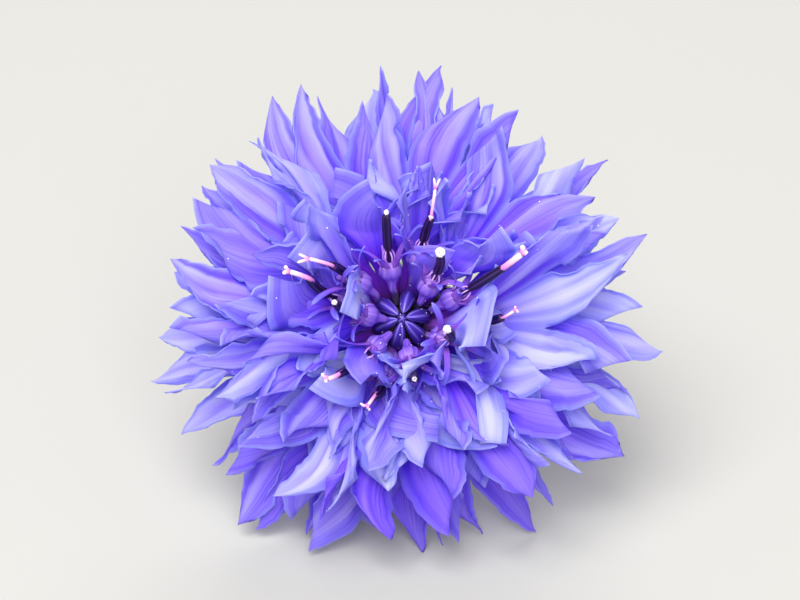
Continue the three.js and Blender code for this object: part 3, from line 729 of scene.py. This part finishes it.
for whorl, name in enumerate(("ray_florets_outer", "ray_florets_inner", "ray_florets_upright")):
    florets = join([ray_floret(n) for n, floret in enumerate(RAY_FLORETS) if floret[5] == whorl])
    thicken(florets, PETAL_THICKNESS)
    hand_over(florets, name, petal, "ray_florets")


# -------------------- disc florets
# The small violet florets of the centre. Six ridged buds lean together over a seventh; round them stand
# the open ones: a slim tube, a ribbed bell, five narrow lobes, and a dark tube of anthers on five
# pale filaments. From the oldest the pink style has grown out.

BUDS = 6
BUD_PATH = [(1.25, -0.9), (2.15, 1.3), (1.95, 3.0), (0.4, 4.9)]     # off the axis, and height
MIDDLE_BUD_PATH = [(0.0, -0.9), (0.05, 1.5), (-0.05, 3.0), (0.05, 4.5)]
BUD_RADII = [(0, 0), (0.04, 0.3), (0.2, 0.5), (0.5, 0.8), (0.75, 0.66), (0.92, 0.36), (1, 0)]
BELL_RADIUS = 1.15
OPEN_FLORETS = [         # middle of the bell, tip of the anther tube
    ((-1.0, 3.8, 5.2), (-1.4, 8.9, 10.2)), ((2.2, 2.4, 5.3), (3.4, 5.3, 9.8)),
    ((-2.7, 0.1, 5.2), (-6.0, 0.9, 9.6)), ((4.0, 1.4, 5.2), (9.2, 4.1, 9.8)),
    ((-2.0, -2.3, 5.2), (-5.8, -5.6, 9.2)), ((3.3, -1.8, 5.3), (4.0, -1.6, 10.4)),
    ((0.6, -3.2, 5.1), (1.1, -5.9, 9.0)), ((-3.4, 2.8, 5.2), (-6.4, 4.3, 9.6)),
    ((1.3, 5.0, 4.8), (2.6, 8.6, 9.4)), ((5.3, -0.6, 4.6), (9.0, -0.4, 9.0)),
    ((-4.6, 1.2, 4.4), (-8.4, 3.2, 8.6)), ((-1.1, -4.6, 4.4), (-2.5, -7.4, 8.0)),
]
STYLES = [               # which open floret, where its pink style ends, and its share of STYLE_RADIUS
    (3, (11.0, 5.4, 10.6), 2.0), (4, (-6.9, -6.0, 9.5), 1.5), (7, (-9.3, 5.0, 10.2), 1.2),
    (8, (3.1, 12.0, 10.6), 1.0), (9, (10.2, 0.3, 9.6), 0.9), (10, (-10.6, 3.9, 9.0), 1.6),
    (11, (-3.2, -8.4, 8.3), 1.1),
]
RIDGES = 5               # of a bud and of an anther tube; a bell has twice as many ribs
BUD_RIDGE_DEPTH = 0.16   # these depths are shares of the radius
BELL_RIB_DEPTH = 0.12
ANTHER_SEAM_DEPTH = 0.14
BELL_FOOT = (1.9, -0.8)  # off the axis, and height
FILAMENT_RADIUS = 0.07
FILAMENT_RADII = [(0, 0), (0.05, FILAMENT_RADIUS), (0.95, FILAMENT_RADIUS), (1, 0)]
ANTHER_RADIUS = 0.44
ANTHER_RADII = [(0, 0), (0.02, 0.2), (0.2, 0.24), (0.27, ANTHER_RADIUS), (0.9, ANTHER_RADIUS * 0.92),
                (0.97, ANTHER_RADIUS * 0.6), (1, 0)]
STYLE_RADIUS = 0.13
STRAP_LENGTH = 4.0
STRAP_HALF_WIDTH = 0.35
STRAP_WIDTHS = [(0, 1.25), (0.3, 0.9), (0.75, 0.75), (0.92, 0.5), (1, 0.08)]
STRAP_START = math.radians(22)
STRAP_THICKNESS = 0.11
ASLANT = [0.62, -0.75, 0.05]  # a direction that no rod takes


def rod(path, radii, columns=24, rows=24, ribs=0, rib_depth=0.0):
    """A round closed body that follows a path of points; its radii are share of the way and radius."""
    path = np.asarray(path, float)
    stops = np.linspace(0, 1, len(path))

    def middle(share):
        return np.stack([through(share, list(zip(stops, path[:, k]))) for k in range(3)], axis=-1)

    def shape(across, along):
        ahead = unit(middle(np.minimum(along + 0.01, 1)) - middle(np.maximum(along - 0.01, 0)))
        side = unit(np.cross(ahead, ASLANT))
        other = np.cross(ahead, side)
        turn = (across * math.pi)[:, None]
        ribbing = 1 - rib_depth * (0.5 - 0.5 * np.cos(ribs * turn))
        radius = np.maximum(through(along, radii), 0)[:, None] * ribbing
        return middle(along) + radius * (np.cos(turn) * side + np.sin(turn) * other)

    piece = sheet(columns, rows, shape)
    clean(piece)
    return piece


# Bud skin: dark indigo and satiny; its ridges carry a painted highlight in pale violet, brightest at the
# tip.
bud_skin = new_material("dark_bud_skin")
bud_map = add_node(bud_skin, "UVMap")
bud_split = add_node(bud_skin, "SeparateXYZ", links={"Vector": bud_map.outputs["UV"]})
bud_turn = add_node(
    bud_skin, "Math", {"operation": "MULTIPLY", 1: 2 * math.pi * RIDGES}, {0: bud_split.outputs["X"]})
bud_ridge = add_node(bud_skin, "Math", {"operation": "COSINE"}, {0: bud_turn.outputs[0]})
bud_ridges = add_node(bud_skin, "MapRange", {1: 0.1, 2: 1.0, 3: 0.0, 4: 1.0}, {0: bud_ridge.outputs[0]})
bud_dark = add_node(
    bud_skin, "ValToRGB",
    {"stops": [(0.0, "#62309c"), (0.35, "#47269c"), (0.7, "#38208a"), (1.0, "#4a30a0")]},
    {"Fac": bud_split.outputs["Y"]})
bud_ridge_highlight = add_node(
    bud_skin, "ValToRGB",
    {"stops": [(0.0, "#7444b0"), (0.5, "#5640b4"), (0.85, "#7e6cd0"), (1.0, "#a496e4")]},
    {"Fac": bud_split.outputs["Y"]})
bud_colour = add_node(
    bud_skin, "Mix", {"data_type": "RGBA"},
    {0: bud_ridges.outputs[0], 6: bud_dark.outputs["Color"], 7: bud_ridge_highlight.outputs["Color"]})
bud_shader = add_node(
    bud_skin, "BsdfPrincipled", {"Roughness": 0.38, "IOR": 1.42}, {"Base Color": bud_colour.outputs[2]})
add_node(bud_skin, "OutputMaterial", links={"Surface": bud_shader.outputs["BSDF"]})

# Disc petal: tubes and bells, nearly white below, pink-violet further up, violet where they swell, and
# paler pink at the closed top of the bells, a painted highlight.
disc_petal = new_material("violet_disc_petal")
disc_map = add_node(disc_petal, "UVMap")
disc_split = add_node(disc_petal, "SeparateXYZ", links={"Vector": disc_map.outputs["UV"]})
disc_ramp = add_node(
    disc_petal, "ValToRGB",
    {"stops": [(0.0, "#ecdcf4"), (0.4, "#dcb4f0"), (0.6, "#a874f0"), (0.8, "#a47af4"), (1.0, "#d8a6f8")]},
    {"Fac": disc_split.outputs["Y"]})
disc_stretch = add_node(
    disc_petal, "Mapping", {"Scale": (14.0, 1.2, 1.0)}, {"Vector": disc_map.outputs["UV"]})
disc_streaks = add_node(
    disc_petal, "TexNoise", {"Scale": 1.0, "Detail": 2.0}, {"Vector": disc_stretch.outputs["Vector"]})
disc_streak_tint = add_node(
    disc_petal, "ValToRGB", {"stops": [(0.35, "#9a86d8"), (0.6, "#ffffff")]},
    {"Fac": disc_streaks.outputs["Fac"]})
disc_colour = add_node(
    disc_petal, "Mix", {"data_type": "RGBA", "blend_type": "MULTIPLY", 0: 0.8},
    {6: disc_ramp.outputs["Color"], 7: disc_streak_tint.outputs["Color"]})
disc_surface = add_node(
    disc_petal, "BsdfPrincipled", {"Roughness": 0.42, "IOR": 1.4}, {"Base Color": disc_colour.outputs[2]})
disc_through = add_node(disc_petal, "BsdfTranslucent", {}, {"Color": disc_colour.outputs[2]})
disc_shader = add_node(
    disc_petal, "MixShader", {0: 0.45}, {1: disc_surface.outputs["BSDF"], 2: disc_through.outputs["BSDF"]})
add_node(disc_petal, "OutputMaterial", links={"Surface": disc_shader.outputs["Shader"]})

# The narrow lobes are of the same tissue, and turn from violet to blue towards their tips.
strap_petal = disc_petal.copy()
strap_petal.name = "blue_violet_disc_lobe"
strap_stops = strap_petal.node_tree.nodes[disc_ramp.name].color_ramp.elements
for stop, colour in zip(strap_stops, ("#d08aee", "#bc7cf8", "#a47cff", "#9488ff", "#b0aaff")):
    stop.color = linear(colour)

# Anther skin: purple-black, five seams long, with a waxy gloss.
anther_skin = new_material("purple_black_anther")
anther_map = add_node(anther_skin, "UVMap")
anther_split = add_node(anther_skin, "SeparateXYZ", links={"Vector": anther_map.outputs["UV"]})
anther_turn = add_node(
    anther_skin, "Math", {"operation": "MULTIPLY", 1: 2 * math.pi * RIDGES}, {0: anther_split.outputs["X"]})
anther_seam = add_node(anther_skin, "Math", {"operation": "COSINE"}, {0: anther_turn.outputs[0]})
anther_colour = add_node(
    anther_skin, "ValToRGB", {"stops": [(0.0, "#180a2e"), (0.6, "#24103f"), (0.95, "#40246c")]},
    {"Fac": anther_seam.outputs[0]})
anther_shader = add_node(
    anther_skin, "BsdfPrincipled", {"Roughness": 0.34, "IOR": 1.42},
    {"Base Color": anther_colour.outputs["Color"]})
add_node(anther_skin, "OutputMaterial", links={"Surface": anther_shader.outputs["BSDF"]})

# Style tissue: pink, paler at the forked tip, moist and a little see-through.
style_tissue = new_material("pink_style_tissue")
style_map = add_node(style_tissue, "UVMap")
style_split = add_node(style_tissue, "SeparateXYZ", links={"Vector": style_map.outputs["UV"]})
style_colour = add_node(
    style_tissue, "ValToRGB",
    {"stops": [(0.0, "#8a44b4"), (0.4, "#dc8ccc"), (0.7, "#f4c6da"), (1.0, "#fbeaea")]},
    {"Fac": style_split.outputs["Y"]})
style_shader = add_node(
    style_tissue, "BsdfPrincipled",
    {"Roughness": 0.4, "IOR": 1.4, "Subsurface Weight": 0.2, "Subsurface Scale": 0.0003},
    {"Base Color": style_colour.outputs["Color"]})
add_node(style_tissue, "OutputMaterial", links={"Surface": style_shader.outputs["BSDF"]})

# The filaments are of the same tissue, thinner and paler all along.
filament_tissue = style_tissue.copy()
filament_tissue.name = "pale_filament_tissue"
filament_stops = filament_tissue.node_tree.nodes[style_colour.name].color_ramp.elements
for stop, colour in zip(filament_stops, ("#b070dc", "#c88ee8", "#d8a8ee", "#b880dc")):
    stop.color = linear(colour)

middle_path = [(off, 0, height) for off, height in MIDDLE_BUD_PATH]
buds = [rod(middle_path, BUD_RADII, 40, 20, RIDGES, BUD_RIDGE_DEPTH)]
for number in range(BUDS):
    turn = 2 * math.pi * (number + 0.25 + spread(number, 51, -0.1, 0.1)) / BUDS
    grown = spread(number, 52, 0.92, 1.08)
    path = [(off * math.cos(turn), off * math.sin(turn), height) for off, height in BUD_PATH]
    buds.append(rod(grown * np.array(path), BUD_RADII, 40, 20, RIDGES, BUD_RIDGE_DEPTH))
hand_over(join(buds), "disc_buds", bud_skin, "disc_florets")

bells = []
straps = []
anthers = []
filaments = []
for number, (bell, tip) in enumerate(OPEN_FLORETS):
    bell = np.array(bell)
    tip = np.array(tip)
    heading = math.atan2(bell[1], bell[0])
    outside = np.array([math.cos(heading), math.sin(heading), 0])
    foot = BELL_FOOT[0] * outside + [0, 0, BELL_FOOT[1]]
    up = unit(unit(tip - bell) + 0.35 * outside)
    grown = BELL_RADIUS * spread(number, 61, 0.88, 1.05)
    mouth = bell + up * 1.5 * grown
    bell_radii = [(0, 0), (0.03, 0.3), (0.4, 0.32), (0.62, 0.4), (0.82, grown), (0.94, grown * 0.78),
                  (1, 0)]
    bells.append(rod([foot, foot + (bell - foot) * 0.4, bell - up * 1.3 * grown, bell, mouth],
                     bell_radii, 40, 40, 2 * RIDGES, BELL_RIB_DEPTH))
    side = unit(np.cross(up, [0.3, 0.2, 0.9]))
    other = np.cross(up, side)
    for lobe in range(5):
        key = number * 7 + lobe
        turn = 2 * math.pi * (lobe + draw(number, 62)) / 5
        outward = math.cos(turn) * side + math.sin(turn) * other
        aside = np.cross(up, outward)
        reach = STRAP_LENGTH * spread(key, 63, 0.65, 1.15)
        inward = max(-float(outward @ outside), 0)
        curl = math.radians(spread(key, 64, 45, 110) - 25 * inward)
        twist = spread(key, 65, -0.6, 0.6)

        def strap_point(across, along):
            bend = STRAP_START + curl * along
            out = grown * 0.72 + reach * (math.cos(STRAP_START) - np.cos(bend)) / curl
            rise = reach * (np.sin(bend) - math.sin(STRAP_START)) / curl
            half = STRAP_HALF_WIDTH * through(along, STRAP_WIDTHS)
            fold = 0.35 * half * across ** 2 + twist * half * across * along
            return (mouth - up * 0.45 * grown + out[:, None] * outward + (rise + fold)[:, None] * up
                    + (across * half)[:, None] * aside)

        straps.append(sheet(4, 12, strap_point))
    way = tip - mouth
    sag = unit(np.cross(way, np.cross(up, way))) if number % 3 else up
    path = [mouth - up * 0.9 * grown, mouth + way * 0.3 + sag * 0.5, mouth + way * 0.65 + sag * 0.45, tip]
    anthers.append(rod(path, ANTHER_RADII, 30, 30, RIDGES, ANTHER_SEAM_DEPTH))
    for stamen in range(5):
        turn = 2 * math.pi * (stamen + draw(number, 66)) / 5
        outward = math.cos(turn) * side + math.sin(turn) * other
        root = mouth + (0.42 * outward - 0.35 * up) * grown
        head = mouth + way * 0.16 + sag * 0.3 + 0.3 * outward
        elbow = (root + head) / 2 + outward * spread(number * 5 + stamen, 67, 0.1, 0.3)
        filaments.append(rod([root, elbow, head], FILAMENT_RADII, 6, 9))
hand_over(join(bells), "disc_bells", disc_petal, "disc_florets")
straps = join(straps)
clean(straps)
thicken(straps, STRAP_THICKNESS)
hand_over(straps, "disc_lobes", strap_petal, "disc_florets")
hand_over(join(anthers), "disc_anther_tubes", anther_skin, "disc_florets")
hand_over(join(filaments), "disc_filaments", filament_tissue, "disc_florets")

styles = []
for number, end, thick in STYLES:
    bell, tip = (np.array(spot) for spot in OPEN_FLORETS[number])
    end = np.array(end)
    way = unit(end - tip)
    ahead = unit(tip - bell)
    thick = STYLE_RADIUS * thick
    fork = tip + (end - tip) * spread(number, 68, 0.6, 0.85)
    across = unit(np.cross(way, [0.2, 0.3, 0.9]))
    styles.append(rod([tip - ahead * 0.8, tip, tip + (end - tip) * 0.4 + ahead * 0.2, fork + ahead * 0.1],
                      [(0, 0), (0.03, thick), (0.9, thick * 1.1), (0.97, thick), (1, 0)], 12, 16))
    for hand in (-1, 1):
        spread_out = across * hand * spread(number * 2 + hand, 69, 0.2, 0.75)
        styles.append(rod([fork - way * 0.1, fork + way * 0.35 + spread_out * 0.3, end + spread_out],
                          [(0, 0), (0.06, thick), (0.7, thick * 0.9), (0.95, thick * 0.6), (1, 0)], 10, 10))
hand_over(join(styles), "disc_styles", style_tissue, "disc_florets")


# -------------------- pollen
# Cornflower pollen is white. It sits in clumps on the tips of the anther tubes and lies as single
# grains, here drawn coarser than they are so that they show, on the petals round the centre.

# Which open floret, how many grains, and the radius of the clump.
POLLEN_CLUMPS = [(0, 50, 0.2), (1, 200, 0.42), (2, 40, 0.22), (3, 24, 0.2), (5, 150, 0.34), (6, 24, 0.2),
                 (8, 16, 0.18)]
GRAIN = 0.14
LOOSE_GRAINS = 220
GOLDEN_TURN = 2.39996    # it sets the grains of a clump evenly round a ball

# Pollen: dry white grains.
pollen_grain = new_material("white_pollen")
pollen_place = add_node(pollen_grain, "TexCoord")
pollen_mottle = add_node(
    pollen_grain, "TexNoise", {"Scale": 3000.0}, {"Vector": pollen_place.outputs["Object"]})
pollen_colour = add_node(
    pollen_grain, "ValToRGB", {"stops": [(0.3, "#dcd3e6"), (0.6, "#fbf8f4")]},
    {"Fac": pollen_mottle.outputs["Fac"]})
pollen_shader = add_node(
    pollen_grain, "BsdfPrincipled", {"Roughness": 0.75}, {"Base Color": pollen_colour.outputs["Color"]})
add_node(pollen_grain, "OutputMaterial", links={"Surface": pollen_shader.outputs["BSDF"]})

grain_spots = []
for number, grains, clump in POLLEN_CLUMPS:
    bell, tip = (np.array(spot) for spot in OPEN_FLORETS[number])
    for grain in range(grains):
        height = 1 - 2 * (grain + 0.5) / grains
        turn = grain * GOLDEN_TURN
        off = np.array([math.cos(turn), math.sin(turn), 0]) * math.sqrt(1 - height ** 2) + [0, 0, height]
        off = off * clump * spread(number * 257 + grain, 74, 0.8, 1.05)
        spot = tip + unit(tip - bell) * clump * 0.3 + off
        grain_spots.append(on_head(spot) / MM)
dusted_pieces = ("ray_florets_upright", "disc_bells", "ray_florets_inner", "disc_lobes", "disc_buds")
dusted = [points_of(bpy.data.objects[name]) / MM for name in dusted_pieces]
for grain in range(LOOSE_GRAINS):
    points = dusted[grain % len(dusted)]
    grain_spots.append(points[int(draw(grain, 75) * len(points))])
grain_spots = np.array(grain_spots)
bpy.ops.mesh.primitive_ico_sphere_add(subdivisions=1, radius=0.5, location=(0, 0, 0.5))
bpy.ops.object.transform_apply(location=True, rotation=True, scale=True)
grain_sizes = GRAIN * spread(np.arange(len(grain_spots)), 76, 0.6, 1.15)
grain_heights = np.array([0, 0, 1.0]) * grain_sizes[:, None]
grain_feet = grain_spots - grain_heights / 2
pollen = copies(bpy.context.object, grain_feet, grain_feet + grain_heights, grain_sizes)
hand_over(pollen, "pollen", pollen_grain, "disc_florets")


# -------------------- floor, light and camera
# A plain pale surface and soft studio light. The camera looks down on the flower's face.

VIEW_ELEVATION = math.radians(32)
PIXELS_PER_MM = 11.0
PICTURE_WIDTH = 800
LENS = 135
SENSOR = 36
FACE_AT = 5              # out of the involucre's mouth
PICTURE_RIGHT = -0.18    # from there to the middle of the picture
PICTURE_UP = 1.6
FLOOR_SIZE = 3           # metres, as are the lights' places and sizes
LIGHTS_AIM = (0, -0.01, 0.015)

# Matt pale board.
board = new_material("matt_pale_board")
board_shader = add_node(board, "BsdfPrincipled", {"Base Color": linear("#a9a8a4"), "Roughness": 0.85})
add_node(board, "OutputMaterial", links={"Surface": board_shader.outputs["BSDF"]})
bpy.ops.mesh.primitive_plane_add(size=FLOOR_SIZE)
floor = bpy.context.object
floor.name = "floor"
floor.data.materials.append(board)

for name, at, size, power in (
    ("key_light", (-0.15, -0.22, 0.62), 0.45, 5.5),
    ("fill_light", (0.08, -0.58, 0.5), 0.45, 3.2),
    ("back_light", (0.1, 0.5, 0.4), 0.5, 2.5),
):
    lamp = bpy.data.lights.new(name, "AREA")
    lamp.size = size
    lamp.energy = power
    holder = bpy.data.objects.new(name, lamp)
    bpy.context.scene.collection.objects.link(holder)
    holder.location = at
    holder.rotation_euler = (Vector(LIGHTS_AIM) - Vector(at)).to_track_quat("-Z", "Y").to_euler()

world = bpy.data.worlds.new("white_room")
bpy.context.scene.world = world
world.use_nodes = True
world.node_tree.nodes["Background"].inputs["Color"].default_value = (1, 1, 1, 1)
world.node_tree.nodes["Background"].inputs["Strength"].default_value = 0.5
bpy.context.scene.view_settings.view_transform = "Standard"

view_back = np.array([0.0, -math.cos(VIEW_ELEVATION), math.sin(VIEW_ELEVATION)])
view_up = np.array([0.0, math.sin(VIEW_ELEVATION), math.cos(VIEW_ELEVATION)])
look_at = HEAD_AT + FACE_AT * HEAD_OUT + PICTURE_RIGHT * HEAD_RIGHT + PICTURE_UP * view_up
distance = PICTURE_WIDTH / PIXELS_PER_MM / 2 / (SENSOR / 2 / LENS)
camera = bpy.data.cameras.new("camera")
camera.lens = LENS
camera.sensor_width = SENSOR
camera.clip_start = 0.01
camera_stand = bpy.data.objects.new("camera", camera)
bpy.context.scene.collection.objects.link(camera_stand)
camera_stand.location = Vector((look_at + distance * view_back) * MM)
camera_stand.rotation_euler = Vector(-view_back).to_track_quat("-Z", "Y").to_euler()
bpy.context.scene.camera = camera_stand
